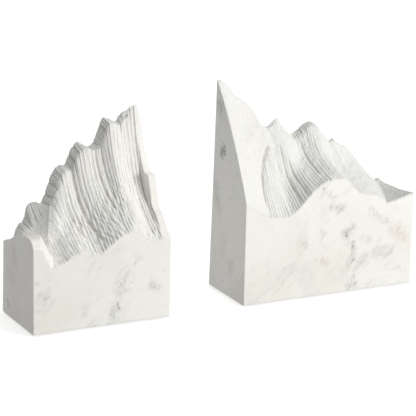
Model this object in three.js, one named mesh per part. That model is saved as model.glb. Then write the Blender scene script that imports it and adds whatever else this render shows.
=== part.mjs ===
// A pair of carved marble bookends on felt pads, in millimetres, +Z up.
//
// Each bookend is one sawn block of marble: flat front, ends, back and base, with a carved top that
// rises from a low wavy front edge to a jagged mountain crest along the back. Four round felt pads
// are glued under each block. The origin is on the shelf, in the middle of the pair. +X runs along
// the row of books from the left bookend to the right one, and +Y runs from front to back.
import * as THREE from 'three';

// The row: the two blocks stand with their fronts in one plane.
const PAIR_WIDTH = 318;
const BOOK_GAP = 61;
const PAIR_LEFT = -PAIR_WIDTH / 2;
const FRONT_Y = -30;

// The felt pads, with the film of glue between felt and stone.
const PAD_RADIUS = 8;
const PAD_THICKNESS = 1.2;
const GLUE_GAP = 0.3;
const PAD_INSET = 12;
const PAD_SIDES = 24;
const STONE_BOTTOM = PAD_THICKNESS + GLUE_GAP;

// The two blocks. Both backs lean forward a little, so a block is deepest at its base.
const LEFT_BLOCK = { width: 109, depth: 60, columns: 64 };
const RIGHT_BLOCK = { width: PAIR_WIDTH - BOOK_GAP - LEFT_BLOCK.width, depth: 58, columns: 80 };
const BACK_LEAN = 0.037;

// Rows of the carved surface: closer together towards the steep top of the wall, then on the crest.
const WALL_ROWS = 13;
const WALL_ROW_CROWDING = 1.7;
const CREST_ROWS = 3;

const marble = () => new THREE.MeshStandardMaterial({ color: 0xeeece6, roughness: 0.45, metalness: 0 });
const felt = () => new THREE.MeshStandardMaterial({ color: 0x6b5c4c, roughness: 1, metalness: 0 });

// ---------------------------------------------------------------------------------- outlines
// Each outline lists [distance, height] points: distance from the block's left end, or from front
// to back where it says so, and height above the shelf.

// Left bookend, along the back: a low shoulder, a small tower, and three mountain steps.
const LEFT_CREST = [
  [0, 56], [6, 57.5], [8, 59], [9.2, 65], [11, 69], [15, 70.5], [16.5, 77], [17.5, 81.5], [20, 84.3],
  [23, 84.8], [26, 84], [28.5, 82], [31, 87.5], [34, 96], [36.5, 103], [39.5, 108.5], [43.5, 111], [47, 110],
  [49.5, 116], [52, 122.5], [56.5, 127.5], [59.5, 126.5], [64, 123], [68, 123.5], [71, 128], [74, 138],
  [76.5, 143.5], [79, 144], [84, 141.5], [87.5, 140], [90.5, 145], [94, 147.2], [96.5, 148],
  [98.5, 150.3], [101, 151.2], [105, 150.8], [107, 146], [109, 136.5],
];
// Left bookend, along the brow, the front edge of the crest: it slopes down past the tower's foot.
const LEFT_BROW = [
  [0, 57], [8, 64.5], [14, 69.5], [19, 73], [21.5, 76], [25, 78.5], [29.5, 83], [31.5, 88], [34, 94.5],
  [36.5, 100.5], [40, 106], [44, 108.5], [47.5, 109], [50, 114], [53, 121], [56.5, 124.5], [60, 125],
  [64, 122.5], [68.5, 122.5], [71.5, 127], [74.5, 136.5], [77, 141], [80, 142], [87.5, 138.5],
  [91, 141.5], [95, 144.5], [99, 146], [103, 149], [109, 136],
];
// Left bookend, the even line that the wall below heads for. It turns to the brow near the top.
const LEFT_WALL_LINE = [
  [0, 57], [14, 68], [25, 78], [34, 94], [44, 105], [53, 117], [64, 123.5], [74, 132], [84, 140.5],
  [98, 145.5], [103, 148], [109, 136],
];
const BROW_TURN = 4;
// Left bookend, how far the brow stands in front of the back.
const LEFT_BROW_DEPTH = [[0, 13], [80, 13], [87, 10], [93, 6], [98, 3], [103, 2], [109, 1.5]];
// Left bookend, how far the carved strokes drift towards the book face on their way down the wall.
const LEFT_DRIFT = [[0, 5], [20, 10], [45, 14], [62, 13], [75, 11], [90, 6], [103, 0], [109, 0]];
// Left bookend, the share of the climb that the wall makes evenly, and how late the rest comes.
const LEFT_FOOT_SHARE = [[0, 0.9], [24, 0.9], [36, 0.58], [78, 0.55], [101, 0.45]];
const LEFT_STEEPNESS = [[0, 6], [78, 6], [101, 5]];
// Left bookend, a buttress right of the tower: its left edge leans across the wall, in plan.
const BUTTRESS_HEIGHT = 5;
const BUTTRESS_START = 8;
const BUTTRESS_LEAN = 0.47;
const BUTTRESS_RISE = [0, 3];
const BUTTRESS_FALL = [6, 20];
const BUTTRESS_FOOT = [18, 32];
const BUTTRESS_HEAD = [0.93, 1];
// Left bookend, along the front edge of the carving.
const LEFT_FRONT = [
  [0, 50], [14, 50], [17, 51], [20.5, 52.4], [26, 54.5], [31, 58], [37, 59], [43, 58.5], [48, 57],
  [53, 57], [58, 60.5], [63, 64.5], [70, 69], [76, 71.2], [80, 71.8], [84, 70.3], [88, 66.5],
  [92, 62.8], [96, 61.3], [101, 63], [109, 63.3],
];
// Left bookend, the smooth dome at its outer end, from front to back.
const LEFT_DOME = [
  [0, 66.4], [3, 70], [7, 71.4], [13, 72], [22, 71], [31, 68.3], [37, 65.5], [41, 63.5], [45, 61],
  [51, 59.5], [56, 57.5], [60, 56],
];
// The dome is level for this far along the front, and a little further behind it, then falls steeply.
const DOME_FLAT = 7.2;
const DOME_FLARE = 0.4;
const DOME_FLARE_END = 10;
const DOME_FALL = 2.1;
// Left bookend, the rim that stands up along its book face, from front to back, in three steps.
const LEFT_RIM = [
  [0, 62.8], [4, 65], [9, 69.5], [12, 73], [15, 77], [20, 79.5], [22.5, 82], [24.5, 90], [27.5, 98],
  [29.5, 102.8], [36, 103.3], [42, 111.2], [46.5, 122.5], [51, 134], [54, 151.5], [60, 156],
];
const RIM_WIDTH = 6;
const RIM_LEVEL_WIDTH = 2;
const RIM_SLOPE_START = 103;
const RIM_CROSS_SLOPE = 0.075;

// Right bookend, along the back: a tall horn at the book face, two peaks, and a long fall.
const RIGHT_CREST = [
  [0, 165], [3, 165], [8, 161], [11.5, 158], [15, 152], [20, 149.5], [27, 144], [32, 139],
  [35, 133], [38.5, 127], [42, 125], [46, 125.3], [50, 129.5], [53, 132], [57, 127], [61, 121.5],
  [66, 117], [71, 120], [76.5, 124.5], [80, 126.3], [84, 125.8], [88, 122.5], [93, 116.5],
  [98.5, 110], [101, 109], [104, 110.8], [108, 106.5], [116, 103], [122, 96], [127, 90],
  [134, 82], [142, 74.5], [148, 68],
];
// Right bookend, along the front edge: it dips, climbs over a rounded hill and falls in two steps.
const RIGHT_FRONT = [
  [0, 84], [4, 80], [12, 75.2], [20, 71], [28, 68.5], [34.5, 67.8], [40, 69.2], [46, 73.6],
  [52, 79.5], [57.5, 85.2], [64, 89.8], [71, 92.6], [78, 93.8], [84, 93], [88.5, 90], [93, 85],
  [98, 80.6], [103.5, 78.4], [110, 77.2], [114.5, 76], [119, 73], [123.5, 69.2], [130, 63], [148, 50],
];
// Right bookend, how far the brow stands in front of the back.
const RIGHT_BROW_DEPTH = [[0, 1], [36, 2], [46, 5], [60, 6.5], [88, 6.5], [96, 4], [148, 4]];
// Right bookend, along the brow: it passes in front of the first peak without rising.
const RIGHT_BROW = [
  [0, 165], [3, 165], [8, 161], [11.5, 158], [15, 152], [20, 149.5], [27, 144], [32, 138.5],
  [38, 130], [44, 125.3], [50, 124.5], [56, 122], [61, 118], [66, 114.5], [71, 117], [76.5, 122],
  [80, 124.5], [84, 124.5], [88, 121.5], [93, 115.5], [98.5, 109.5], [101, 108.5], [104, 109],
  [108, 105.5], [116, 102.3], [122, 95.5], [127, 89.6], [134, 81.8], [142, 74.3], [148, 68],
];
// Right bookend, how hollow the bowl is: most in the middle, and straight towards both ends. The
// straight parts still bulge a little.
const RIGHT_HOLLOW = [[0, 0], [20, 0.1], [45, 0.8], [70, 1], [98, 1], [125, 0.25], [148, 0]];
const HOLLOW_RUN = 20;
const RIGHT_FOOT_SHARE = 0.5;
const RIGHT_STEEPNESS = 5;
const RIGHT_BULGE = [[0, 0.075], [28, 0.075], [36, 0.125], [46, 0.12], [58, 0.075]];
// Right bookend, the bank at its outer end, from front to back, slopes down towards the mountain.
const BANK_TOP = [[0, 75.5], [6, 74.5], [20, 73.2], [42, 72.6], [53, 74], [58, 74]];
const BANK_SLOPE = 0.245;
// Right bookend, the scooped bowl: in plan its edge is part of an oval, and a small step down.
// The step fades out behind the first peak, and the bowl runs on to the block's outer end.
const BOWL_MIDDLE = [63, 9];
const BOWL_REACH = [44.5, 34];
const BOWL_ROUNDNESS = 1.55;
const BOWL_OPEN_START = 54;
const BOWL_OPEN_RATE = 0.8;
const BOWL_STEP = 1.8;
const BOWL_STEP_RUN = 1.2;
const BOWL_STEP_END = [30, 50];
const BOWL_FADE = 8;

// ---------------------------------------------------------------------------------- helpers

// Height of an outline at one distance, straight between its points and level past its ends.
function heightAt(outline, distance) {
  const last = outline.length - 1;
  if (distance <= outline[0][0]) return outline[0][1];
  if (distance >= outline[last][0]) return outline[last][1];
  const next = outline.findIndex((point) => point[0] >= distance);
  const [fromDistance, fromHeight] = outline[next - 1];
  const [toDistance, toHeight] = outline[next];
  return THREE.MathUtils.mapLinear(distance, fromDistance, toDistance, fromHeight, toHeight);
}

// How far the carved wall has climbed at a fraction of the way from front edge to brow. It runs
// out gently at the foot and turns up steeply under the brow.
function wallClimb(fraction, footShare, steepness) {
  return footShare * fraction + (1 - footShare) * fraction ** steepness;
}

// How far back each row of the carved surface lies, from the front edge to the brow and the back.
function rowDepths(browAt, crestAt) {
  const depths = [];
  for (let row = 0; row < WALL_ROWS; row += 1) {
    depths.push(browAt * (1 - (1 - row / WALL_ROWS) ** WALL_ROW_CROWDING));
  }
  for (let row = 0; row <= CREST_ROWS; row += 1) {
    depths.push(THREE.MathUtils.lerp(browAt, crestAt, row / CREST_ROWS));
  }
  return depths;
}

// A closed block whose top follows topHeight(along, back), both measured from its front left corner.
function carvedBlock(block, crest, browDepth, topHeight) {
  const positions = [];
  const triangles = [];
  const addVertex = (x, y, z) => positions.push(x, y, z) / 3 - 1;
  const addQuad = (a, b, c, d) => triangles.push(a, b, c, a, c, d);

  const top = [];
  for (let column = 0; column <= block.columns; column += 1) {
    const along = (block.width * column) / block.columns;
    const crestAt = block.depth - BACK_LEAN * heightAt(crest, along);
    const browAt = crestAt - heightAt(browDepth, along);
    top.push(rowDepths(browAt, crestAt).map((back) => (
      addVertex(along, back, topHeight(along, back, browAt, crestAt))
    )));
  }
  const backRow = top[0].length - 1;
  for (let column = 0; column < block.columns; column += 1) {
    for (let row = 0; row < backRow; row += 1) {
      const near = top[column];
      const far = top[column + 1];
      addQuad(near[row], far[row], far[row + 1], near[row + 1]);
    }
  }

  // The rim of the top, counter-clockwise from above, and the base corner under each of its points.
  const rim = [
    ...top.map((column) => column[0]),
    ...top[block.columns].slice(1),
    ...top.map((column) => column[backRow]).reverse().slice(1),
    ...top[0].slice(1, -1).reverse(),
  ];
  const baseDepth = block.depth - BACK_LEAN * STONE_BOTTOM;
  const base = rim.map((vertex) => {
    const along = positions[3 * vertex];
    const back = positions[3 * vertex + 1];
    const isBack = top.some((column) => column[backRow] === vertex);
    return addVertex(along, isBack ? baseDepth : back, STONE_BOTTOM);
  });
  const baseMiddle = addVertex(block.width / 2, block.depth / 2, STONE_BOTTOM);
  rim.forEach((vertex, index) => {
    const next = (index + 1) % rim.length;
    addQuad(vertex, base[index], base[next], rim[next]);
    triangles.push(base[index], baseMiddle, base[next]);
  });

  const geometry = new THREE.BufferGeometry();
  geometry.setAttribute('position', new THREE.Float32BufferAttribute(positions, 3));
  geometry.setIndex(triangles);
  geometry.computeVertexNormals();
  return geometry;
}

// ---------------------------------------------------------------------------------- the carvings

function buttress(along, back, climbed) {
  const { smoothstep } = THREE.MathUtils;
  const pastEdge = along - BUTTRESS_START - BUTTRESS_LEAN * back;
  const across = smoothstep(pastEdge, ...BUTTRESS_RISE) * (1 - smoothstep(pastEdge, ...BUTTRESS_FALL));
  const upward = smoothstep(back, ...BUTTRESS_FOOT) * (1 - smoothstep(climbed, ...BUTTRESS_HEAD));
  return BUTTRESS_HEIGHT * across * upward;
}

function leftTop(along, back, browAt, crestAt) {
  const climbed = Math.min(1, back / browAt);
  const behindBrow = Math.max(0, back - browAt) / (crestAt - browAt);
  const source = along - heightAt(LEFT_DRIFT, along) * (1 - climbed);
  const crest = heightAt(LEFT_CREST, source);
  const brow = Math.min(heightAt(LEFT_BROW, source), crest);
  const front = heightAt(LEFT_FRONT, along);
  const footShare = heightAt(LEFT_FOOT_SHARE, source);
  const steepness = heightAt(LEFT_STEEPNESS, source);
  const line = heightAt(LEFT_WALL_LINE, source);
  const wall = front + (line - front) * wallClimb(climbed, footShare, steepness)
    + (brow - line) * climbed ** BROW_TURN;
  const mountain = wall + buttress(along, back, climbed) + (crest - brow) * behindBrow;

  const domeEnd = DOME_FLAT + DOME_FLARE * Math.min(back, DOME_FLARE_END);
  const dome = heightAt(LEFT_DOME, back) - DOME_FALL * Math.max(0, along - domeEnd);

  const rimStart = LEFT_BLOCK.width - RIM_WIDTH;
  if (along < rimStart) return Math.max(mountain, dome);
  const rim = heightAt(LEFT_RIM, back);
  const pastLevel = Math.max(0, along - rimStart - RIM_LEVEL_WIDTH);
  const rimFall = RIM_CROSS_SLOPE * Math.max(0, rim - RIM_SLOPE_START) * pastLevel;
  return Math.min(rim - rimFall, crest);
}

// How far inside the bowl's edge a place is, in plan.
function insideBowl(along, back) {
  const [middleAlong, middleBack] = BOWL_MIDDLE;
  const [reachAlong, reachBack] = BOWL_REACH;
  const a = (Math.min(along, middleAlong) - middleAlong) / reachAlong;
  const b = Math.max(0, back - middleBack) / reachBack;
  const open = BOWL_OPEN_RATE * Math.max(0, along - BOWL_OPEN_START);
  const ring = (Math.abs(a) ** BOWL_ROUNDNESS + b ** BOWL_ROUNDNESS) ** (1 / BOWL_ROUNDNESS);
  return (1 - ring) * (reachAlong + reachBack) / 2 + open;
}

function rightTop(along, back, browAt, crestAt) {
  const crest = heightAt(RIGHT_CREST, along);
  const brow = Math.min(heightAt(RIGHT_BROW, along), crest);
  const front = heightAt(RIGHT_FRONT, along);
  const climbed = Math.min(1, back / browAt);
  const behindBrow = Math.max(0, back - browAt) / (crestAt - browAt);
  const inside = insideBowl(along, back);
  const straight = climbed + heightAt(RIGHT_BULGE, along) * Math.sin(Math.PI * climbed);
  const hollow = wallClimb(climbed, RIGHT_FOOT_SHARE, RIGHT_STEEPNESS);
  const hollowShare = heightAt(RIGHT_HOLLOW, along)
    * THREE.MathUtils.smoothstep(inside, 0, HOLLOW_RUN);
  const climb = THREE.MathUtils.lerp(straight, hollow, hollowShare);
  const stepDown = BOWL_STEP * THREE.MathUtils.smoothstep(inside, 0, BOWL_STEP_RUN)
    * (1 - THREE.MathUtils.smoothstep(along, ...BOWL_STEP_END))
    * THREE.MathUtils.smoothstep(back, 0, BOWL_FADE);
  const wall = front + (brow - front) * climb - stepDown;
  const mountain = wall + (crest - brow) * behindBrow;
  const bank = heightAt(BANK_TOP, back) - BANK_SLOPE * (RIGHT_BLOCK.width - along);
  return Math.max(mountain, bank);
}

// ---------------------------------------------------------------------------------- assembly

function addPads(bookend, name, block) {
  const places = [
    ['front_left', PAD_INSET, PAD_INSET],
    ['front_right', block.width - PAD_INSET, PAD_INSET],
    ['back_left', PAD_INSET, block.depth - PAD_INSET],
    ['back_right', block.width - PAD_INSET, block.depth - PAD_INSET],
  ];
  places.forEach(([corner, along, back]) => {
    const disc = new THREE.CylinderGeometry(PAD_RADIUS, PAD_RADIUS, PAD_THICKNESS, PAD_SIDES);
    disc.rotateX(Math.PI / 2);
    const pad = new THREE.Mesh(disc, felt());
    pad.name = `${name}_pad_${corner}`;
    pad.position.set(along, back, PAD_THICKNESS / 2);
    bookend.add(pad);
  });
}

function makeBookend(name, leftEnd, block, ...carving) {
  const bookend = new THREE.Group();
  const stone = new THREE.Mesh(carvedBlock(block, ...carving), marble());
  stone.name = `${name}_marble_block`;
  bookend.add(stone);
  addPads(bookend, name, block);
  bookend.position.set(leftEnd, FRONT_Y, 0);
  return bookend;
}

const bookends = new THREE.Group();
const rightEnd = PAIR_LEFT + LEFT_BLOCK.width + BOOK_GAP;
bookends.add(makeBookend('left', PAIR_LEFT, LEFT_BLOCK, LEFT_CREST, LEFT_BROW_DEPTH, leftTop));
bookends.add(makeBookend('right', rightEnd, RIGHT_BLOCK, RIGHT_CREST, RIGHT_BROW_DEPTH, rightTop));

export default bookends;
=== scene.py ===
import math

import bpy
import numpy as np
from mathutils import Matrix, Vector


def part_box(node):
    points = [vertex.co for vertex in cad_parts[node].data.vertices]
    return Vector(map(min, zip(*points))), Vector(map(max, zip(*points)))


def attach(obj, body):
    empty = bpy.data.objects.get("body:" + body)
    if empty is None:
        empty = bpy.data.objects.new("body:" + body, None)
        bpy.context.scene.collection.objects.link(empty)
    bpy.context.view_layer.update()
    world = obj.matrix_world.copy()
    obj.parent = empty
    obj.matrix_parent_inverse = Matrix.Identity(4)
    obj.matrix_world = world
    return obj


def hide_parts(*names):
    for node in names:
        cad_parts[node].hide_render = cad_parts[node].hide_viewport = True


# Two carved marble bookends on felt pads, in a plain white studio.
#
# Each stone surface is a fine grid over the same outlines as its CAD block, in millimetres, with
# "along" measured from the block's left end and "back" from its front. The columns of the grid
# follow the carver's strokes, and the strokes are cut into it along its normals.
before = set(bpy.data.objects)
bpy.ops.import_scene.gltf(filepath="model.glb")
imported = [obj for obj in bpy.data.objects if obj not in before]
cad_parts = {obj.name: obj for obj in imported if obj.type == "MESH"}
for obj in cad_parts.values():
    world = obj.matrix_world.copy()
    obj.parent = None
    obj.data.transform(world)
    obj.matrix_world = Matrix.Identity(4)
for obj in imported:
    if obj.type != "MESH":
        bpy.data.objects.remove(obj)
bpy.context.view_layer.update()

MM = 0.001
BACK_LEAN = 0.037

# ------------------------------------------------------------------------------------ outlines
# Each outline lists [distance, height] points, as in the CAD blocks.
LEFT_CREST = [
    [0, 56], [6, 57.5], [8, 59], [9.2, 65], [11, 69], [15, 70.5], [16.5, 77], [17.5, 81.5],
    [20, 84.3], [23, 84.8], [26, 84], [28.5, 82], [31, 87.5], [34, 96], [36.5, 103], [39.5, 108.5],
    [43.5, 111], [47, 110], [49.5, 116], [52, 122.5], [56.5, 127.5], [59.5, 126.5], [64, 123],
    [68, 123.5], [71, 128], [74, 138], [76.5, 143.5], [79, 144], [84, 141.5], [87.5, 140],
    [90.5, 145], [94, 147.2], [96.5, 148], [98.5, 150.3], [101, 151.2], [105, 150.8], [107, 146],
    [109, 136.5],
]
LEFT_BROW = [
    [0, 57], [8, 64.5], [14, 69.5], [19, 73], [21.5, 76], [25, 78.5], [29.5, 83], [31.5, 88],
    [34, 94.5], [36.5, 100.5], [40, 106], [44, 108.5], [47.5, 109], [50, 114], [53, 121],
    [56.5, 124.5], [60, 125], [64, 122.5], [68.5, 122.5], [71.5, 127], [74.5, 136.5],
    [77, 141], [80, 142], [87.5, 138.5], [91, 141.5], [95, 144.5], [99, 146], [103, 149],
    [109, 136],
]
LEFT_WALL_LINE = [
    [0, 57], [14, 68], [25, 78], [34, 94], [44, 105], [53, 117], [64, 123.5], [74, 132],
    [84, 140.5], [98, 145.5], [103, 148], [109, 136],
]
BROW_TURN = 4
LEFT_FRONT = [
    [0, 50], [14, 50], [17, 51], [20.5, 52.4], [26, 54.5], [31, 58], [37, 59], [43, 58.5],
    [48, 57], [53, 57], [58, 60.5], [63, 64.5], [70, 69], [76, 71.2], [80, 71.8], [84, 70.3],
    [88, 66.5], [92, 62.8], [96, 61.3], [101, 63], [109, 63.3],
]
LEFT_BROW_DEPTH = [[0, 13], [80, 13], [87, 10], [93, 6], [98, 3], [103, 2], [109, 1.5]]
LEFT_DRIFT = [[0, 0], [10, 10], [31, 14], [49, 13], [64, 11], [84, 6], [103, 0], [109, 0]]
LEFT_FOOT_SHARE = [[0, 0.9], [24, 0.9], [36, 0.58], [78, 0.55], [101, 0.45]]
LEFT_STEEPNESS = [[0, 6], [78, 6], [101, 5]]
BUTTRESS_HEIGHT = 5
BUTTRESS_START = 8
BUTTRESS_LEAN = 0.47
LEFT_DOME = [
    [0, 66.4], [3, 70], [7, 71.4], [13, 72], [22, 71], [31, 68.3], [37, 65.5], [41, 63.5],
    [45, 61], [51, 59.5], [56, 57.5], [60, 56],
]
LEFT_RIM = [
    [0, 62.8], [4, 65], [9, 69.5], [12, 73], [15, 77], [20, 79.5], [22.5, 82], [24.5, 90],
    [27.5, 98], [29.5, 102.8], [36, 103.3], [42, 111.2], [46.5, 122.5], [51, 134],
    [54, 151.5], [60, 156],
]
DOME_FLAT = 7.2
DOME_FLARE = 0.4
DOME_FLARE_END = 10
DOME_FALL = 2.1
RIM_START = 103
RIM_LEVEL_WIDTH = 2
RIM_SLOPE_START = 103
RIM_CROSS_SLOPE = 0.075

RIGHT_CREST = [
    [0, 165], [3, 165], [8, 161], [11.5, 158], [15, 152], [20, 149.5], [27, 144], [32, 139],
    [35, 133], [38.5, 127], [42, 125], [46, 125.3], [50, 129.5], [53, 132], [57, 127],
    [61, 121.5], [66, 117], [71, 120], [76.5, 124.5], [80, 126.3], [84, 125.8], [88, 122.5],
    [93, 116.5], [98.5, 110], [101, 109], [104, 110.8], [108, 106.5], [116, 103], [122, 96],
    [127, 90], [134, 82], [142, 74.5], [148, 68],
]
RIGHT_FRONT = [
    [0, 84], [4, 80], [12, 75.2], [20, 71], [28, 68.5], [34.5, 67.8], [40, 69.2], [46, 73.6],
    [52, 79.5], [57.5, 85.2], [64, 89.8], [71, 92.6], [78, 93.8], [84, 93], [88.5, 90],
    [93, 85], [98, 80.6], [103.5, 78.4], [110, 77.2], [114.5, 76], [119, 73], [123.5, 69.2],
    [130, 63], [148, 50],
]
RIGHT_BROW = [
    [0, 165], [3, 165], [8, 161], [11.5, 158], [15, 152], [20, 149.5], [27, 144], [32, 138.5],
    [38, 130], [44, 125.3], [50, 124.5], [56, 122], [61, 118], [66, 114.5], [71, 117],
    [76.5, 122], [80, 124.5], [84, 124.5], [88, 121.5], [93, 115.5], [98.5, 109.5],
    [101, 108.5], [104, 109], [108, 105.5], [116, 102.3], [122, 95.5], [127, 89.6],
    [134, 81.8], [142, 74.3], [148, 68],
]
RIGHT_BROW_DEPTH = [[0, 1], [36, 2], [46, 5], [60, 6.5], [88, 6.5], [96, 4], [148, 4]]
RIGHT_DRIFT = [[0, 0], [25, 3], [50, 3], [66, 0], [80, -4], [100, -2], [148, 0]]
RIGHT_HOLLOW = [[0, 0], [20, 0.1], [45, 0.8], [70, 1], [98, 1], [125, 0.25], [148, 0]]
HOLLOW_RUN = 20
RIGHT_FOOT_SHARE = 0.5
RIGHT_STEEPNESS = 5
RIGHT_BULGE = [[0, 0.075], [28, 0.075], [36, 0.125], [46, 0.12], [58, 0.075]]
BANK_TOP = [[0, 75.5], [6, 74.5], [20, 73.2], [42, 72.6], [53, 74], [58, 74]]
BANK_SLOPE = 0.245
BOWL_MIDDLE = (63, 9)
BOWL_REACH = (44.5, 34)
BOWL_ROUNDNESS = 1.55
BOWL_OPEN_START = 54
BOWL_OPEN_RATE = 0.8
BOWL_STEP = 1.8
BOWL_FADE = 8


# ------------------------------------------------------------------------------------ helpers
def outline(points, soften=0.5):
    """A height function through [distance, height] points, with its corners softened."""
    points = np.array(points, float)
    fine = np.arange(points[0, 0] - 5, points[-1, 0] + 5, 0.1)
    heights = np.interp(fine, points[:, 0], points[:, 1])
    reach = np.arange(-30, 31) * 0.1
    kernel = np.exp(-0.5 * (reach / soften) ** 2)
    heights = np.convolve(np.pad(heights, 30, mode="edge"), kernel / kernel.sum(), "valid")
    return lambda distance: np.interp(distance, fine, heights)


def smoothstep(value, low, high):
    share = np.clip((value - low) / (high - low), 0, 1)
    return share * share * (3 - 2 * share)


def soft_max(a, b, width):
    """The higher of two surfaces, blended over a width where they cross."""
    share = np.clip(0.5 + 0.5 * (a - b) / width, 0, 1)
    return b + (a - b) * share + width * share * (1 - share)


def spread(low, high, count, density):
    """count + 1 places from low to high, closer together where the density is higher."""
    fine = np.linspace(low, high, 6001)
    weight = density(fine)
    total = np.concatenate([[0], np.cumsum((weight[1:] + weight[:-1]) / 2)])
    return np.interp(np.linspace(0, total[-1], count + 1), total, fine)


def arc_length(height, low, high):
    """A function from distance to the length of an outline up to there."""
    fine = np.linspace(low, high, 4001)
    steps = np.hypot(np.diff(fine), np.diff(height(fine)))
    total = np.concatenate([[0], np.cumsum(steps)])
    return lambda distance: np.interp(distance, fine, total)


def wall_climb(climbed, foot_share, steepness):
    """How high a hollow wall has risen: straight at its foot and steep at the top."""
    return foot_share * climbed + (1 - foot_share) * climbed ** steepness


def ripple(u, v, size, seed, waves=9):
    """Smooth noise between about -1 and 1, with bumps of about that size."""
    rng = np.random.default_rng(seed)
    total = np.zeros(np.broadcast(u, v).shape)
    for _ in range(waves):
        heading = rng.uniform(0, 2 * math.pi)
        length = size * rng.uniform(0.7, 1.8)
        offset = rng.uniform(0, 2 * math.pi)
        way = u * math.cos(heading) + v * math.sin(heading)
        total += np.sin(way * 2 * math.pi / length + offset)
    return total / math.sqrt(waves)


def strokes(position, travel, pitch, seed, scatter=0.3, narrow=1.0):
    """Cuts side by side: 0 on the ridges between them, up to 1 in the deepest.

    position runs across the cuts and travel along them. Each cut has its own depth, which also
    comes and goes along its length."""
    rng = np.random.default_rng(seed)
    count = int((position.max() - position.min()) / pitch * 1.4) + 8
    gaps = pitch * (1 + scatter * rng.uniform(-1, 1, count))
    places = np.cumsum(gaps) + position.min() - 3 * pitch
    phase = np.interp(position, places, np.arange(count))
    cut = np.rint(phase).astype(int)
    depth = rng.uniform(0.5, 1.0, count)[cut]
    start = rng.uniform(0, 2 * math.pi, count)[cut]
    length = rng.uniform(14, 40, count)[cut]
    come_and_go = 0.8 + 0.2 * np.sin(2 * math.pi * travel / length + start)
    profile = (1 - np.abs(np.sin(math.pi * phase))) ** narrow
    return depth * come_and_go * profile


def gullies(source, climbed, cuts):
    """Single deep cuts: (source, half width, depth, lowest and highest climb, lean)."""
    total = np.zeros(source.shape)
    for place, half_width, depth, low, high, lean in cuts:
        middle = place + lean * (1 - climbed)
        across = np.exp(-0.5 * ((source - middle) / half_width) ** 2)
        ends = smoothstep(climbed, low - 0.08, low + 0.1)
        ends = ends * (1 - smoothstep(climbed, high - 0.05, high + 0.12))
        total = np.maximum(total, depth * across * ends)
    return total


# ------------------------------------------------------------------------------------ the stone
# Radii and distances in millimetres.
EASE = 0.5
EASE_STEPS = np.array([0.0, 0.1, 0.25, 0.45, 0.75])
EASE_SHARE = 0.8
CORNER_RADIUS = 0.9
BORDER_FADE = 1.2
HAIR = 0.0004
LEFT_COLUMNS, LEFT_WALL_ROWS, LEFT_CREST_ROWS = 540, 92, 17
RIGHT_COLUMNS, RIGHT_WALL_ROWS, RIGHT_CREST_ROWS = 560, 104, 9


def with_ease_steps(places, size):
    """Rows of a grid from 0 to 1, with extra rows close to both ends for the eased edge."""
    steps = EASE_STEPS / size
    inner = places[(places > steps[-1] * 1.3) & (places < 1 - steps[-1] * 1.3)]
    return np.concatenate([steps, inner, 1 - steps[::-1]])


def round_corners(along, back, width, depth):
    """Moves the points nearest each upright corner onto a rounded plan."""
    left = along < width / 2
    front = back < depth / 2
    from_side = np.where(left, along, width - along)
    from_end = np.where(front, back, depth - back)
    a = np.clip(1 - from_side / CORNER_RADIUS, 0, 1)
    b = np.clip(1 - from_end / CORNER_RADIUS, 0, 1)
    from_side = np.where(a > 0, CORNER_RADIUS * (1 - a * np.sqrt(1 - b * b / 2)), from_side)
    from_end = np.where(b > 0, CORNER_RADIUS * (1 - b * np.sqrt(1 - a * a / 2)), from_end)
    along = np.where(left, from_side, width - from_side)
    back = np.where(front, from_end, depth - from_end)
    return along, back


def in_order(values, limit):
    """The same run of numbers, from 0 to a limit, with each a hair above the one before."""
    hairs = HAIR * np.arange(len(values))
    return np.clip(np.maximum.accumulate(values - hairs) + hairs, 0, limit)


def carve(points, cut, width, depth, front_ease=EASE):
    """Cuts a grid of points along its normals, and keeps its border in the faces of the block.

    front_ease is the radius of the front edge, one number or one for each point. The border's
    places stay in order, so that the walls below it never fold."""
    across = np.gradient(points, axis=0)
    upward = np.gradient(points, axis=1)
    normals = np.cross(across, upward)
    normals /= np.linalg.norm(normals, axis=2, keepdims=True)
    shift = -normals * cut[..., None]
    back_face = depth - BACK_LEAN * points[..., 2]
    from_side = np.minimum(points[..., 0], width - points[..., 0])
    from_end = np.maximum(0, np.minimum(points[..., 1], back_face - points[..., 1]))
    shift[..., 0] *= smoothstep(from_side, 0, BORDER_FADE)
    shift[..., 1] *= smoothstep(from_end, 0, BORDER_FADE)
    carved = points + shift
    for distance, radius in ((from_side, EASE), (from_end, EASE), (points[..., 1], front_ease)):
        gap = np.maximum(0, radius - distance)
        carved[..., 2] -= (radius - np.sqrt(radius * radius - gap * gap)) * EASE_SHARE
    carved[:, -1, 1] = depth - BACK_LEAN * carved[:, -1, 2]
    for edge in (0, -1):
        carved[:, edge, 0] = in_order(carved[:, edge, 0], width)
        carved[edge, :, 1] = in_order(carved[edge, :, 1], carved[edge, -1, 1])
    return carved


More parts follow.
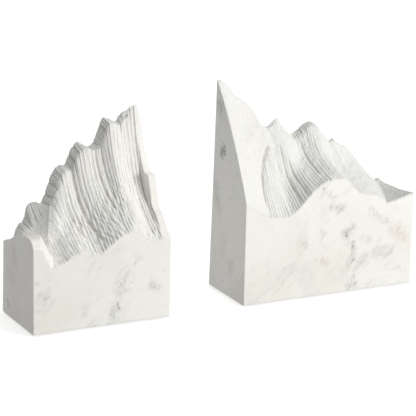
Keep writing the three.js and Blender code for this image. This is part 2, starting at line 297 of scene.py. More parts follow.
def stone_mesh(name, points, values, width, depth, bottom):
    """The closed stone: the carved grid, walls down from its border, and a flat base.

    points are in block millimetres. values are named numbers for each point of the grid. The
    walls lean with the back face, and round off into the base."""
    columns, rows = points.shape[:2]
    index = np.arange(columns * rows).reshape(columns, rows)
    border = np.concatenate([
        index[:, 0], index[-1, 1:], index[::-1, -1][1:], index[0, ::-1][1:-1],
    ])
    flat = points.reshape(-1, 3)
    rim = flat[border]
    back_share = rim[:, 1] / (depth - BACK_LEAN * rim[:, 2])
    rings = []
    levels = [
        (rim[:, 2] - 0.5, 0), (bottom + 1.3, 0), (bottom + 0.5, 0),
        (bottom + 0.15, 0.15), (bottom, 0.5), (bottom, 1.4),
    ]
    for height, inset in levels:
        z = np.broadcast_to(height, len(border))
        back_face = depth - BACK_LEAN * z
        along = np.clip(rim[:, 0], inset, width - inset)
        back = np.clip(back_share * back_face, inset, back_face - inset)
        rings.append(np.stack([along, back, z], 1))
    middle = np.array([[width / 2, depth / 2, bottom]])
    vertices = np.concatenate([flat, *rings, middle])
    plan = round_corners(vertices[:, 0], vertices[:, 1], width, depth - BACK_LEAN * vertices[:, 2])
    vertices = np.stack([plan[0], plan[1], vertices[:, 2]], 1)

    quads = np.stack([index[:-1, :-1], index[1:, :-1], index[1:, 1:], index[:-1, 1:]], -1)
    faces = quads.reshape(-1, 4).tolist()
    upper = border
    for ring in range(len(rings)):
        lower = np.arange(len(border)) + len(flat) + ring * len(border)
        band = np.stack([upper, lower, np.roll(lower, -1), np.roll(upper, -1)], 1)
        faces += band.tolist()
        upper = lower
    centre = len(vertices) - 1
    faces += [(int(a), centre, int(b)) for a, b in zip(upper, np.roll(upper, -1))]

    mesh = bpy.data.meshes.new(name)
    mesh.from_pydata(vertices.tolist(), [], faces)
    mesh.shade_smooth()
    for key, grid in values.items():
        spread_out = np.zeros(len(vertices), np.float32)
        spread_out[:len(flat)] = grid.ravel()
        attribute = mesh.attributes.new(key, "FLOAT", "POINT")
        attribute.data.foreach_set("value", spread_out)
    return mesh


def stone_object(node, mesh, low):
    """Places a stone mesh, made in block millimetres, where its CAD node is."""
    place = Matrix.Translation((low.x, low.y, 0)) @ Matrix.Scale(MM, 4)
    mesh.transform(place)
    stone = bpy.data.objects.new(node + "_stone", mesh)
    bpy.context.scene.collection.objects.link(stone)
    return stone


def stroke_grid(width, depth, crest, brow_depth, drift, columns, wall_rows, crest_rows):
    """The places of a grid whose columns follow the strokes.

    source is where a column starts at the crest, along and back are the place itself. climbed goes
    from 0 at the front to 1 at the brow, and behind from 0 at the brow to 1 at the crest."""
    source = columns[:, None]
    crest_at = depth - BACK_LEAN * crest(source)
    brow_at = crest_at - brow_depth(source)
    wall_back = brow_at * wall_rows[None, :]
    crest_back = brow_at + (crest_at - brow_at) * crest_rows[None, 1:]
    back = np.concatenate([wall_back, crest_back], 1)
    climbed = np.minimum(1, back / brow_at)
    behind = np.maximum(0, back - brow_at) / (crest_at - brow_at)
    along = source + drift(source) * (1 - climbed)
    source = np.broadcast_to(source, back.shape)
    return source, along, back, climbed, behind


# ------------------------------------------------------------------------------------ left stone
LEFT_GULLIES = [
    (25, 0.5, 0.5, 0.3, 0.85, -2), (38, 0.6, 0.7, 0.35, 0.85, -1), (41.6, 0.6, 0.9, 0.5, 0.95, 0),
    (47.8, 0.8, 1.0, 0.1, 1.0, -2), (59.2, 0.5, 0.7, 0.15, 0.85, 0.5), (62.6, 0.5, 0.7, 0.4, 1, -4),
    (66.3, 0.7, 1.1, 0.4, 1, 0), (70.2, 0.5, 0.8, 0.35, 1, -1), (72.4, 0.4, 0.6, 0.5, 0.9, 0),
    (93.4, 0.5, 0.7, 0.6, 1, 0), (95.6, 0.6, 1.0, 0.05, 1, -1), (98.4, 0.5, 0.7, 0.05, 1, -1),
    (101.4, 0.8, 1.2, 0, 1, -1),
]


def left_surface(width, depth):
    """The left block's carved top: a grid of points, its carved share, and its cut share, by which the
    material paints shade into the grooves.
    """
    crest = outline(LEFT_CREST)
    brow = outline(LEFT_BROW)
    front = outline(LEFT_FRONT)
    drift = outline(LEFT_DRIFT, 1.5)

    def density(x):
        slope = np.gradient(crest(x), x) ** 2 + 0.5 * np.gradient(front(x), x) ** 2
        return np.sqrt(1 + slope) + 9 * np.exp(-0.5 * ((x - RIM_START) / 0.45) ** 2)

    def row_density(climbed):
        return np.sqrt(1 + (0.5 + 3 * climbed ** 6) ** 2)

    columns = with_ease_steps(spread(0, width, LEFT_COLUMNS, density) / width, width) * width
    wall_rows = with_ease_steps(spread(0, 1, LEFT_WALL_ROWS, row_density), depth - 16)[:-4]
    wall_rows = np.append(wall_rows[wall_rows < 0.997], 1)
    crest_rows = with_ease_steps(np.linspace(0, 1, LEFT_CREST_ROWS), 13)[4:]
    crest_rows[0] = 0
    grid = stroke_grid(width, depth, crest, outline(LEFT_BROW_DEPTH), drift,
                       columns, wall_rows, crest_rows)
    source, along, back, climbed, behind = grid

    crest_height = crest(source)
    brow_height = np.minimum(brow(source), crest_height)
    climb = wall_climb(climbed, outline(LEFT_FOOT_SHARE)(source), outline(LEFT_STEEPNESS)(source))
    line = outline(LEFT_WALL_LINE, 2)(source)
    wall = front(along) + (line - front(along)) * climb
    wall = wall + (brow_height - line) * climbed ** BROW_TURN
    past_edge = along - BUTTRESS_START - BUTTRESS_LEAN * back
    buttress = smoothstep(past_edge, 0, 2) * (1 - smoothstep(past_edge, 6, 20))
    buttress = buttress * smoothstep(back, 18, 32) * (1 - smoothstep(climbed, 0.93, 1))
    wall = wall + BUTTRESS_HEIGHT * buttress
    mountain = wall + (crest_height - brow_height) * behind
    dome_end = DOME_FLAT + DOME_FLARE * np.minimum(back, DOME_FLARE_END)
    past_dome = np.maximum(0, along - dome_end + 1)
    dome = outline(LEFT_DOME)(back) - DOME_FALL * past_dome * past_dome / (past_dome + 1)
    height = soft_max(mountain, dome, 0.7)
    rim_height = outline(LEFT_RIM, 0.35)(back)
    rim_fall = RIM_CROSS_SLOPE * np.maximum(0, rim_height - RIM_SLOPE_START)
    past_level = np.maximum(0, along - RIM_START - RIM_LEVEL_WIDTH)
    rim_height = np.minimum(rim_height - rim_fall * past_level, crest_height)
    on_rim = smoothstep(along, RIM_START - 0.35, RIM_START + 0.35)
    height = height + (rim_height - height) * on_rim

    up = arc_length(crest, 0, width)(source)
    wide = arc_length(front, 0, width)(along)
    rise = np.hypot(back, height)
    wander = 0.35 * ripple(wide, back, 22, 3)
    high = smoothstep(climbed, 0.55, 0.95)
    low = 1 - smoothstep(climbed, 0.5, 0.95)
    band = smoothstep(climbed, 0.96, 1)
    fine = strokes(up + wander, rise, 2.1, 11, 0.2, 0.9) * (0.45 + 0.5 * band) * high
    broad = strokes(wide + wander, rise, 2.5, 12, 0.35, 1.2) * 0.85 * low
    middle = strokes(source + wander, rise, 3.0, 13, 0.4, 1.7) * 0.9 * (1 - 0.5 * low)
    cut = fine + broad + middle
    cut = np.maximum(cut, 0.8 * gullies(source + 0.5 * wander, climbed, LEFT_GULLIES))
    turn = np.arctan2(30 - along, np.abs(47 - back) + 4)
    fan = strokes(turn * 15 + wander, rise, 1.6, 16, 0.3, 1.0) * 0.5
    beside = (1 - smoothstep(past_edge, -1, 1)) * (1 - smoothstep(climbed, 0.9, 1))
    beside = beside * smoothstep(back, 18, 26)
    cut = cut + (fan - cut) * beside
    worn = 0.45 + 0.55 * smoothstep(np.abs(past_edge - 7) + 0.3 * ripple(along, back, 9, 17), 5, 12)
    cut = cut * np.maximum(worn, smoothstep(climbed, 0.9, 1))
    on_fall = smoothstep(past_dome, 0.8, 2.5) * (1 - smoothstep(back, 14, 26))
    carved = np.maximum(smoothstep(mountain - dome, -0.4, 0.8), on_fall) * (1 - on_rim)
    rim_cut = strokes(rise, along, 2.2, 14, 0.15, 0.8) * 0.5
    rim_cut = rim_cut * smoothstep(rim_height, 102, 106) * on_rim
    lumps = 0.16 * (1 + ripple(along, back, 6, 15)) * carved
    lumps = lumps + 0.15 * (1 + ripple(source, rise, 3, 18)) * carved * (1 - high)
    total = cut * carved + rim_cut + lumps
    points = np.stack([along, back, height], -1)
    # groove_shade sets how strongly the material paints shade into each groove and rim stripe.
    groove_shade = cut * carved * (1 - 0.2 * high) + rim_cut
    values = {"cut": np.clip(groove_shade, 0, 1.2), "carved": np.maximum(carved, 0.6 * on_rim)}
    front_ease = EASE + 1.2 * (1 - smoothstep(along, 5, 9))
    return carve(points, total, width, depth, front_ease), values


# ------------------------------------------------------------------------------------ right stone
RIGHT_GULLIES = [
    (46, 0.7, 0.8, 0, 0.7, 0), (51.3, 0.7, 0.9, 0, 0.6, 0), (70, 0.6, 0.8, 0.2, 0.9, 0),
    (80.2, 0.6, 0.7, 0.2, 0.9, 0), (103.8, 0.8, 0.5, 0.3, 0.9, 0),
]


def inside_bowl(along, back):
    """How far inside the bowl's edge a place is, in plan."""
    a = (np.minimum(along, BOWL_MIDDLE[0]) - BOWL_MIDDLE[0]) / BOWL_REACH[0]
    b = np.maximum(0, back - BOWL_MIDDLE[1]) / BOWL_REACH[1]
    past_middle = BOWL_OPEN_RATE * np.maximum(0, along - BOWL_OPEN_START)
    ring = (np.abs(a) ** BOWL_ROUNDNESS + b ** BOWL_ROUNDNESS) ** (1 / BOWL_ROUNDNESS)
    return (1 - ring) * sum(BOWL_REACH) / 2 + past_middle


def right_surface(width, depth):
    """The right block's carved top: a grid of points, its carved share, and its cut share, by which the
    material paints shade into the grooves and a shadow under the bowl's ledge.
    """
    crest = outline(RIGHT_CREST)
    front = outline(RIGHT_FRONT)
    drift = outline(RIGHT_DRIFT, 2)

    def density(x):
        slope = np.gradient(crest(x), x) ** 2 + 0.5 * np.gradient(front(x), x) ** 2
        return np.sqrt(1 + slope)

    def row_density(climbed):
        return np.sqrt(1 + (0.5 + 2 * climbed ** 5) ** 2)

    columns = with_ease_steps(spread(0, width, RIGHT_COLUMNS, density) / width, width) * width
    wall_rows = with_ease_steps(spread(0, 1, RIGHT_WALL_ROWS, row_density), depth - 8)[:-4]
    wall_rows = np.append(wall_rows[wall_rows < 0.997], 1)
    crest_rows = with_ease_steps(np.linspace(0, 1, RIGHT_CREST_ROWS), 6)[4:]
    crest_rows[0] = 0
    grid = stroke_grid(width, depth, crest, outline(RIGHT_BROW_DEPTH), drift,
                       columns, wall_rows, crest_rows)
    source, along, back, climbed, behind = grid

    crest_height = crest(source)
    brow_height = np.minimum(outline(RIGHT_BROW)(source), crest_height)
    inside = inside_bowl(along, back)
    straight = climbed + outline(RIGHT_BULGE, 2)(along) * np.sin(math.pi * climbed)
    hollow = wall_climb(climbed, RIGHT_FOOT_SHARE, RIGHT_STEEPNESS)
    hollow_share = outline(RIGHT_HOLLOW, 2)(along) * smoothstep(inside, 0, HOLLOW_RUN)
    climb = straight + (hollow - straight) * hollow_share
    edge_shown = (1 - smoothstep(along, 30, 50)) * smoothstep(back, 0, BOWL_FADE)
    trench_shown = edge_shown * (1 - smoothstep(back, 26, 36))
    wall = front(along) + (brow_height - front(along)) * climb
    wall = wall - BOWL_STEP * smoothstep(inside, 0, 1) * edge_shown
    mountain = wall + (crest_height - brow_height) * behind
    bank = outline(BANK_TOP, 1)(back) - BANK_SLOPE * (width - along)
    height = soft_max(mountain, bank, 0.6)

    up = arc_length(crest, 0, width)(source)
    wide = arc_length(front, 0, width)(along)
    rise = np.hypot(back, height)
    wander = 0.3 * ripple(wide, back, 24, 23)
    high = smoothstep(climbed, 0.72, 0.98)
    low = 1 - smoothstep(climbed, 0.4, 0.9)
    band = smoothstep(climbed, 0.96, 1)
    fine = strokes(up + wander, rise, 2.1, 21, 0.2, 0.9) * (0.45 + 0.5 * band) * high
    broad = strokes(wide + wander, rise, 2.7, 22, 0.3, 1.1) * 0.85 * low
    middle = strokes(source + wander, rise, 2.7, 24, 0.4, 1.5) * 0.6
    groove = fine + broad + middle * (1 - 0.7 * low)
    groove = np.maximum(groove, gullies(source + 0.5 * wander, climbed, RIGHT_GULLIES))
    bowl = smoothstep(inside, 0, 2.5)
    flank = 1 - 0.5 * smoothstep(along, 92, 112)
    horn = 0.25 + 0.3 * smoothstep(along, 30, 45) * smoothstep(climbed, 0.8, 1)
    depth_share = horn + (flank - horn) * bowl
    on_bank = smoothstep(bank - mountain, -0.3, 0.6)
    # The trench is a small dip along the bowl's ledge, which is also painted dark as the ledge's shadow.
    trench = np.exp(-0.5 * ((inside - 0.9) / 0.55) ** 2) * trench_shown
    bank_cut = strokes(back + 0.25 * (width - along), along, 2.3, 25, 0.25, 0.9) * 0.6
    bank_cut = bank_cut + strokes(along, back, 2.7, 26, 0.3, 1.2) * 0.4
    cut = groove * depth_share * (1 - on_bank) + (bank_cut + 0.12) * on_bank
    lumps = 0.14 * (1 + ripple(along, back, 6, 27)) * (0.3 + 0.7 * bowl)
    lumps = lumps + 0.12 * (1 + ripple(source, rise, 3, 28)) * (1 - low)
    total = cut + trench + lumps
    points = np.stack([along, back, height], -1)
    carved = np.maximum(0.7 + 0.3 * bowl, on_bank)
    # groove_shade sets the shade painted into the grooves, plus a stronger painted shadow along the bowl's
    # ledge.
    groove_shade = cut * (1 - 0.2 * high) + 1.5 * trench
    values = {"cut": np.clip(groove_shade, 0, 1.2), "carved": carved}
    front_ease = EASE + 3.0 * (1 - smoothstep(along, 14, 28))
    return carve(points, total, width, depth, front_ease), values


# ------------------------------------------------------------------------------------ felt pads
def felt_pad(node):
    """A pressed felt disc with a soft, slightly uneven rim, in the space of its CAD pad."""
    low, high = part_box(node)
    centre = (low + high) / 2
    radius = (high.x - low.x) / 2
    half = (high.z - low.z) / 2
    profile = [(1.0, 0.0), (0.985, 0.55), (0.95, 0.85), (0.9, 0.97), (0.75, 1.0), (0.5, 1.0)]
    rings = profile[::-1] + [(share, -level) for share, level in profile[1:]]
    sides = 96
    turn = np.arange(sides) * 2 * math.pi / sides
    uneven = 1 - 0.012 * (1 + ripple(np.cos(turn) * 8, np.sin(turn) * 8, 5, 31)) / 2
    vertices = [(centre.x, centre.y, centre.z + half)]
    for share, level in rings:
        reach = radius * share * uneven
        for angle, distance in zip(turn, reach):
            x = centre.x + distance * math.cos(angle)
            y = centre.y + distance * math.sin(angle)
            vertices.append((x, y, centre.z + half * level))
    vertices.append((centre.x, centre.y, centre.z - half))
    last = len(vertices) - 1
    faces = []
    for side in range(sides):
        after = (side + 1) % sides
        faces.append((0, 1 + side, 1 + after))
        for ring in range(len(rings) - 1):
            a = 1 + ring * sides
            faces.append((a + side, a + sides + side, a + sides + after, a + after))
        a = last - sides
        faces.append((last, a + after, a + side))
    mesh = bpy.data.meshes.new(node + "_felt")
    mesh.from_pydata(vertices, [], faces)
    mesh.shade_smooth()
    pad = bpy.data.objects.new(node + "_felt", mesh)
    bpy.context.scene.collection.objects.link(pad)
    return pad


# ------------------------------------------------------------------------------------ materials
class Nodes:
    """Short calls for building one material's node tree."""

    def __init__(self, name):
        self.material = bpy.data.materials.new(name)
        self.material.use_nodes = True
        self.tree = self.material.node_tree
        self.tree.nodes.clear()
        self.shader = self.add("ShaderNodeBsdfPrincipled")
        output = self.add("ShaderNodeOutputMaterial")
        self.tree.links.new(self.shader.outputs[0], output.inputs[0])

    def add(self, kind, **settings):
        node = self.tree.nodes.new(kind)
        for key, value in settings.items():
            setattr(node, key, value)
        return node

    def join(self, value, socket):
        if isinstance(value, bpy.types.NodeSocket):
            self.tree.links.new(value, socket)
        else:
            socket.default_value = value

    def math(self, operation, a, b=0.0, clamp=False):
        node = self.add("ShaderNodeMath", operation=operation, use_clamp=clamp)
        self.join(a, node.inputs[0])
        self.join(b, node.inputs[1])
        return node.outputs[0]

    def ramp(self, value, low, high, to_low=0.0, to_high=1.0):
        node = self.add("ShaderNodeMapRange", interpolation_type="SMOOTHSTEP")
        for socket, setting in zip(node.inputs, (value, low, high, to_low, to_high)):
            self.join(setting, socket)
        return node.outputs[0]

    def noise(self, place, scale, detail=3.0, rough=0.5, distortion=0.0):
        node = self.add("ShaderNodeTexNoise")
        self.join(place, node.inputs["Vector"])
        node.inputs["Scale"].default_value = scale
        node.inputs["Detail"].default_value = detail
        node.inputs["Roughness"].default_value = rough
        node.inputs["Distortion"].default_value = distortion
        return node

    def mix(self, factor, a, b):
        node = self.add("ShaderNodeMix", data_type="RGBA")
        self.join(factor, node.inputs[0])
        self.join(a, node.inputs[6])
        self.join(b, node.inputs[7])
        return node.outputs[2]

    def moved(self, place, amount, scale):
        """A place pushed about by noise, so that what is drawn there is uneven."""
        push = self.add("ShaderNodeVectorMath", operation="MULTIPLY_ADD")
        shift = self.add("ShaderNodeVectorMath", operation="ADD")
        self.join(self.noise(place, scale, 2.0).outputs["Color"], push.inputs[0])
        push.inputs[1].default_value = (amount * 2,) * 3
        push.inputs[2].default_value = (-amount,) * 3
        self.join(place, shift.inputs[0])
        self.join(push.outputs[0], shift.inputs[1])
        return shift.outputs[0]

    def streak(self, place, start, end, width, depth):
        """1 in the middle of a streak between two points, falling to 0 at its edge."""
        start = Vector(start) * MM
        end = Vector(end) * MM
        way = end - start
        turn = way.to_track_quat("Z", "Y")
        mapping = self.add("ShaderNodeMapping", vector_type="TEXTURE")
        self.join(place, mapping.inputs["Vector"])
        mapping.inputs["Location"].default_value = (start + end) / 2
        mapping.inputs["Rotation"].default_value = turn.to_euler()
        mapping.inputs["Scale"].default_value = (width * MM, depth * MM, way.length / 2 + width * MM)
        ball = self.add("ShaderNodeTexGradient", gradient_type="SPHERICAL")
        self.join(mapping.outputs[0], ball.inputs[0])
        return ball.outputs["Fac"]


# Natural marks in each stone: start, end, half width, half depth and strength, in millimetres in
# the shared frame. The front faces are at y -30.
LEFT_GREY_MARKS = [
    ((-144.5, -30, 43), (-152.8, -30, 16), 2.0, 9, 0.5),
    ((-86, -30, 48), (-92, -30, 18), 2.0, 9, 0.45),
    ((-92, -30, 18), (-99.5, -30, 6), 2.2, 9, 0.5),
    ((-91.6, -30, 15.4), (-91.6, -30, 14.8), 2.2, 3, 0.9),
    ((-158, -30, 41.6), (-154.5, -30, 39.6), 1.2, 3, 0.7),
    ((-159, 29, 17.5), (-159, 15, 7), 1.6, 6, 1.1),
    ((-159, 3, 45), (-159, 6, 52), 6, 6, 0.35),
    ((-60, -30, 20), (-66, -30, 34), 4, 6, 0.25),
]
LEFT_BROWN_MARKS = [
    ((-91.2, -30, 14.6), (-91.2, -30, 14.0), 1.5, 3, 0.6),
    ((-63, -30, 30), (-62, -30, 25), 3, 5, 0.25),
]
RIGHT_GREY_MARKS = [
    ((82, -30, 71.5), (98, -30, 67), 3.2, 6, 0.55),
    ((88, -30, 64), (96, -30, 74), 2.6, 6, 0.45),
    ((122, -30, 61), (136, -30, 53), 3.0, 6, 0.6),
    ((118, -30, 66), (128, -30, 57), 2.2, 6, 0.45),
    ((122, -30, 27), (138, -30, 33), 2.8, 6, 0.5),
    ((131, -30, 40), (126, -30, 24), 2.0, 6, 0.4),
    ((98, -30, 62), (106.4, -30, 33), 2.0, 8, 0.65),
    ((106.4, -30, 33), (107.2, -30, 16), 1.6, 8, 0.55),
    ((107.2, -30, 16), (103.2, -30, 1), 1.8, 8, 0.6),
    ((139, -30, 14), (152, -30, 16.5), 1.8, 5, 0.6),
    ((108, -30, 47), (123, -30, 39), 2.0, 5, 0.4),
    ((64, -30, 62), (58, -30, 36), 3.0, 6, 0.22),
    ((11, 9.2, 104), (11, 7.0, 119), 1.4, 6, 1.6),
    ((11, 12, 136), (11, 17, 150), 4.0, 6, 0.7),
    ((11, 20, 90), (11, 12, 60), 4.0, 8, 0.35),
    ((11, -12, 30), (11, -4, 18), 5.0, 8, 0.3),
]
RIGHT_BROWN_MARKS = [
    ((100.5, -30, 47), (100.5, -30, 45.8), 1.6, 3, 1.4),
    ((103, -30, 43), (107, -30, 30), 1.6, 5, 0.5),
    ((73, -30, 30), (83, -30, 27.5), 3.0, 5, 0.4),
    ((60, -30, 47), (63, -30, 38), 1.6, 5, 0.35),
    ((140, -30, 50), (152, -30, 38), 9, 8, 0.25),
    ((11, 4, 50), (11, 8, 20), 14, 8, 0.12),
]

WHITE = (0.90, 0.892, 0.85, 1)
CREAM = (0.86, 0.835, 0.78, 1)
CLOUD = (0.58, 0.585, 0.585, 1)
VEIN_GREY = (0.30, 0.305, 0.315, 1)
VEIN_BROWN = (0.33, 0.22, 0.14, 1)
LEFT_CUT = (0.86, 0.855, 0.83, 1)
RIGHT_CUT = (0.77, 0.77, 0.755, 1)
# CUT_SHADE is the colour of the shade painted into the grooves; the carved grit uses it too.
CUT_SHADE = (0.30, 0.285, 0.235, 1)


def marks_total(nodes, place, marks):
    """The strongest of the marks at each place."""
    total = 0.0
    for start, end, width, depth, strength in marks:
        mark = nodes.streak(place, start, end, width, depth)
        mark = nodes.math("MULTIPLY", mark, strength)
        total = nodes.math("MAXIMUM", total, mark)
    return total


def marble(name, grey_marks, brown_marks, cut_white):
    """Polished white marble, which is matt and lighter where it is carved, and greyer in the cuts: mostly
    painted shade, with a little dust.
    """
    nodes = Nodes(name)
    place = nodes.add("ShaderNodeTexCoord").outputs["Object"]
    cut = nodes.add("ShaderNodeAttribute", attribute_name="cut").outputs["Fac"]
    carved = nodes.add("ShaderNodeAttribute", attribute_name="carved").outputs["Fac"]

    warm = nodes.ramp(nodes.noise(place, 16, 3).outputs["Fac"], 0.42, 0.7)
    colour = nodes.mix(warm, WHITE, CREAM)
    clouds = nodes.ramp(nodes.noise(place, 24, 5, 0.6, 0.6).outputs["Fac"], 0.52, 0.8, 0, 0.4)
    colour = nodes.mix(clouds, colour, CLOUD)

    slanted = nodes.add("ShaderNodeMapping", vector_type="TEXTURE")
    nodes.join(nodes.moved(place, 0.004, 60), slanted.inputs["Vector"])
    slanted.inputs["Rotation"].default_value = (0.0, 0.75, 0.3)
    slanted.inputs["Scale"].default_value = (1.0, 1.0, 4.0)
    feather = nodes.noise(slanted.outputs[0], 130, 6, 0.68, 0.8).outputs["Fac"]
    where = nodes.ramp(nodes.noise(place, 21, 2).outputs["Fac"], 0.44, 0.66)
    feather = nodes.math("MULTIPLY", nodes.ramp(feather, 0.5, 0.78, 0, 0.5), where)
    colour = nodes.mix(feather, colour, VEIN_GREY)

    wisps = nodes.noise(slanted.outputs[0], 300, 5, 0.7, 0.6).outputs["Fac"]
    uneven = nodes.ramp(wisps, 0.38, 0.62, 0.15, 1.4)
    loose = nodes.moved(nodes.moved(place, 0.005, 70), 0.0016, 350)
    grey = nodes.math("MULTIPLY", marks_total(nodes, loose, grey_marks), uneven, True)
    colour = nodes.mix(grey, colour, VEIN_GREY)
    brown = nodes.math("MULTIPLY", marks_total(nodes, loose, brown_marks), uneven, True)
    colour = nodes.mix(brown, colour, VEIN_BROWN)
    specks = nodes.ramp(nodes.noise(place, 330, 2, 0.4).outputs["Fac"], 0.735, 0.79, 0, 0.5)
    colour = nodes.mix(specks, colour, VEIN_BROWN)

    colour = nodes.mix(nodes.math("MULTIPLY", carved, 0.8), colour, cut_white)
    patchy_shade = nodes.ramp(nodes.noise(place, 170, 4, 0.6).outputs["Fac"], 0.35, 0.75, 0.45, 1.0)
    grit = nodes.ramp(nodes.noise(place, 480, 4, 0.7).outputs["Fac"], 0.5, 0.72, 0, 0.16)
    colour = nodes.mix(nodes.math("MULTIPLY", grit, carved), colour, CUT_SHADE)
    # Painted shade with a little dust in the grooves: greyer the deeper the cut, in patches.
    shade = nodes.math("MULTIPLY", nodes.ramp(cut, 0.12, 0.75, 0, 0.62), patchy_shade)
    colour = nodes.mix(shade, colour, CUT_SHADE)
    nodes.join(colour, nodes.shader.inputs["Base Color"])

    polish = nodes.ramp(nodes.noise(place, 90, 3).outputs["Fac"], 0.3, 0.7, 0.27, 0.36)
    rough = nodes.math("ADD", polish, nodes.math("MULTIPLY", carved, 0.38))
    nodes.join(rough, nodes.shader.inputs["Roughness"])
    nodes.shader.inputs["IOR"].default_value = 1.5
    nodes.shader.inputs["Subsurface Weight"].default_value = 0.12
    nodes.shader.inputs["Subsurface Radius"].default_value = (1.0, 0.9, 0.75)
    nodes.shader.inputs["Subsurface Scale"].default_value = 0.0025

    grain = nodes.noise(place, 1500, 4, 0.7).outputs["Fac"]
    chatter = nodes.noise(place, 420, 3, 0.6).outputs["Fac"]
    height = nodes.math("ADD", nodes.math("MULTIPLY", grain, 0.5), chatter)
    bump = nodes.add("ShaderNodeBump")
    nodes.join(height, bump.inputs["Height"])
    nodes.join(nodes.ramp(carved, 0, 1, 0.02, 0.5), bump.inputs["Strength"])
    bump.inputs["Distance"].default_value = 0.0012
    nodes.join(bump.outputs[0], nodes.shader.inputs["Normal"])
    return nodes.material


def felt():
    """Brown pressed felt with short fibres."""
    nodes = Nodes("pressed_felt")
    place = nodes.add("ShaderNodeTexCoord").outputs["Object"]
    stretched = nodes.add("ShaderNodeMapping")
    nodes.join(place, stretched.inputs["Vector"])
    stretched.inputs["Rotation"].default_value = (0, 0, 0.6)
    stretched.inputs["Scale"].default_value = (1.0, 3.5, 2.0)
    fibres = nodes.noise(stretched.outputs[0], 1400, 4, 0.7, 1.5).outputs["Fac"]
    tufts = nodes.noise(place, 420, 3, 0.6).outputs["Fac"]
    colour = nodes.mix(nodes.ramp(fibres, 0.35, 0.7), (0.16, 0.13, 0.10, 1), (0.36, 0.31, 0.26, 1))
    colour = nodes.mix(nodes.ramp(tufts, 0.4, 0.7, 0, 0.4), colour, (0.24, 0.20, 0.16, 1))
    nodes.join(colour, nodes.shader.inputs["Base Color"])
    nodes.join(nodes.ramp(tufts, 0.3, 0.7, 0.88, 1.0), nodes.shader.inputs["Roughness"])
    nodes.shader.inputs["Sheen Weight"].default_value = 0.5
    nodes.shader.inputs["Sheen Roughness"].default_value = 0.5
    nodes.shader.inputs["Specular IOR Level"].default_value = 0.2
    bump = nodes.add("ShaderNodeBump")
    nodes.join(nodes.math("ADD", fibres, tufts), bump.inputs["Height"])
    bump.inputs["Strength"].default_value = 0.7
    bump.inputs["Distance"].default_value = 0.0004
    nodes.join(bump.outputs[0], nodes.shader.inputs["Normal"])
    return nodes.material


# ------------------------------------------------------------------------------------ assembly
def build_stone(side, surface, material):
    """One marble block, in the box of its CAD node."""
    node = side + "_marble_block"
    low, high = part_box(node)
    width = (high.x - low.x) / MM
    bottom = low.z / MM
    depth = (high.y - low.y) / MM + BACK_LEAN * bottom
    points, values = surface(width, depth)
    mesh = stone_mesh(node + "_stone", points, values, width, depth, bottom)
    stone = stone_object(node, mesh, low)
    stone.data.materials.append(material)
    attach(stone, side + "_bookend")
    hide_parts(node)


def build_pads(side, material):
    for corner in ("front_left", "front_right", "back_left", "back_right"):
        node = f"{side}_pad_{corner}"
        pad = felt_pad(node)
        pad.data.materials.append(material)
        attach(pad, side + "_bookend")
        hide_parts(node)


# ------------------------------------------------------------------------------------ studio
# Metres and watts.
FLOOR_REACH = 6.0
FLOOR_GLOW = 0.5
KEY_POWER = 31
TOP_POWER = 15
ROOM_LIGHT = 0.33
AIM = (0, 0, 0.07)


def make_floor():
    mesh = bpy.data.meshes.new("floor")
    reach = FLOOR_REACH
    corners = [(-reach, -reach, 0), (reach, -reach, 0), (reach, reach, 0), (-reach, reach, 0)]
    mesh.from_pydata(corners, [], [(0, 1, 2, 3)])
    floor = bpy.data.objects.new("floor", mesh)
    bpy.context.scene.collection.objects.link(floor)
    nodes = Nodes("floor_paper")
    place = nodes.add("ShaderNodeTexCoord").outputs["Object"]
    mottle = nodes.noise(place, 3, 2).outputs["Fac"]
    colour = nodes.mix(mottle, (0.90, 0.90, 0.90, 1), (0.93, 0.93, 0.93, 1))
    nodes.join(colour, nodes.shader.inputs["Base Color"])
    nodes.shader.inputs["Roughness"].default_value = 0.9
    nodes.shader.inputs["Specular IOR Level"].default_value = 0.1
    nodes.shader.inputs["Emission Color"].default_value = (1, 1, 1, 1)
    nodes.shader.inputs["Emission Strength"].default_value = FLOOR_GLOW
    mesh.materials.append(nodes.material)
    floor.visible_diffuse = False


def area_light(name, place, size, power, colour):
    """A round soft light that points at the middle of the pair."""
    data = bpy.data.lights.new(name, "AREA")
    data.shape = "DISK"
    data.size = size
    data.energy = power
    data.color = colour
    light = bpy.data.objects.new(name, data)
    light.location = place
    aim = Vector(AIM) - Vector(place)
    light.rotation_euler = aim.to_track_quat("-Z", "Y").to_euler()
    bpy.context.scene.collection.objects.link(light)


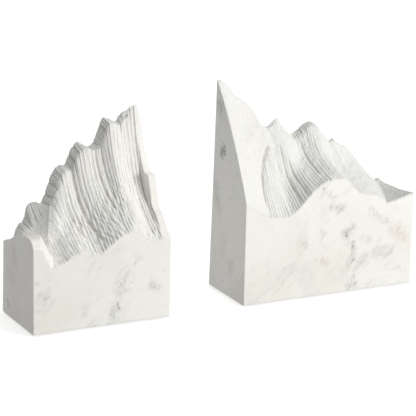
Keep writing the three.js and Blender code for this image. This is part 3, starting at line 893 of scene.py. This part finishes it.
def make_lights():
    """Two soft lights, in a room that looks white but lights the stone less than that."""
    area_light("key", (1.12, -1.66, 0.45), 0.9, KEY_POWER, (1.0, 0.99, 0.97))
    area_light("top", (0.1, 0.1, 2.0), 2.0, TOP_POWER, (1, 1, 1))
    world = bpy.data.worlds.new("studio")
    bpy.context.scene.world = world
    world.use_nodes = True
    tree = world.node_tree
    background = tree.nodes["Background"]
    background.inputs["Color"].default_value = (1, 1, 1, 1)
    ray = tree.nodes.new("ShaderNodeLightPath")
    strength = tree.nodes.new("ShaderNodeMapRange")
    tree.links.new(ray.outputs["Is Camera Ray"], strength.inputs["Value"])
    strength.inputs["To Min"].default_value = ROOM_LIGHT
    strength.inputs["To Max"].default_value = 1.0
    tree.links.new(strength.outputs[0], background.inputs["Strength"])


CAMERA_PLACE = (-0.6556, -1.2682, 0.4735)
CAMERA_YAW = math.radians(27.15)
CAMERA_PITCH = math.radians(15.73)
CAMERA_ROLL = math.radians(1.28)
CAMERA_LENS = 170.36


def make_camera():
    data = bpy.data.cameras.new("camera")
    data.lens = CAMERA_LENS
    data.sensor_width = 36
    camera = bpy.data.objects.new("camera", data)
    forward = Vector((
        math.sin(CAMERA_YAW) * math.cos(CAMERA_PITCH),
        math.cos(CAMERA_YAW) * math.cos(CAMERA_PITCH),
        -math.sin(CAMERA_PITCH),
    ))
    level = Vector((math.cos(CAMERA_YAW), -math.sin(CAMERA_YAW), 0))
    upright = level.cross(forward)
    right = level * math.cos(CAMERA_ROLL) + upright * math.sin(CAMERA_ROLL)
    up = upright * math.cos(CAMERA_ROLL) - level * math.sin(CAMERA_ROLL)
    turn = Matrix((right, up, -forward)).transposed().to_4x4()
    camera.matrix_world = Matrix.Translation(CAMERA_PLACE) @ turn
    bpy.context.scene.collection.objects.link(camera)
    bpy.context.scene.camera = camera


make_camera()
build_stone("left", left_surface, marble("left_marble", LEFT_GREY_MARKS, LEFT_BROWN_MARKS, LEFT_CUT))
build_stone("right", right_surface, marble("right_marble", RIGHT_GREY_MARKS, RIGHT_BROWN_MARKS, RIGHT_CUT))
pad_felt = felt()
build_pads("left", pad_felt)
build_pads("right", pad_felt)
make_floor()
make_lights()
bpy.context.scene.view_settings.view_transform = "Standard"
